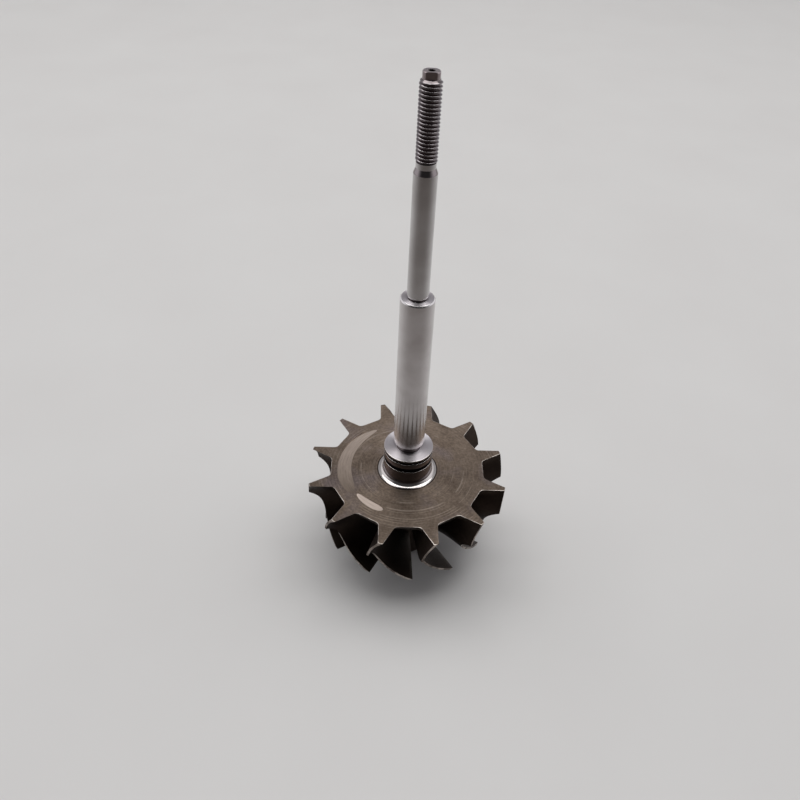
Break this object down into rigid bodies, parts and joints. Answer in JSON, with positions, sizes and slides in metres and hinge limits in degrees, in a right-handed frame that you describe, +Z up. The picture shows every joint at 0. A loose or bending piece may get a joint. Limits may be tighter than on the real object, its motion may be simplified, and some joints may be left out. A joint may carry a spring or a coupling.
{
  "type": "turbocharger turbine wheel",
  "caption": "Radial turbine wheel with curved blades on a scalloped disc, carrying a stepped steel shaft with seal boss, bearing journal, compressor stub and threaded end.",
  "frame": {"origin": "middle of the flat end of the hub's nose, on which the wheel stands", "axes": "+Z up along the shaft, from the nose towards the threaded end; -Y is the side that faces the viewer"},
  "size_m": [0.0704, 0.0704, 0.176],
  "materials": {
    "cast_alloy": "brown-grey heat-resistant investment casting, with a turned back face",
    "ground_steel": "ground and polished",
    "turned_steel": "fine turned, bright"
  },
  "bodies": {
    "root": {"nose": "cast_alloy", "hub_disc": "cast_alloy", "blade_01": "cast_alloy", "blade_02": "cast_alloy", "blade_03": "cast_alloy", "blade_04": "cast_alloy", "blade_05": "cast_alloy", "blade_06": "cast_alloy", "blade_07": "cast_alloy", "blade_08": "cast_alloy", "blade_09": "cast_alloy", "blade_10": "cast_alloy", "blade_11": "cast_alloy", "blade_12": "cast_alloy", "weld_collar": "turned_steel", "seal_boss": "turned_steel", "bearing_journal": "ground_steel", "compressor_stub": "ground_steel", "threaded_end": "turned_steel", "driving_tip": "turned_steel"}
  },
  "joints": []
}
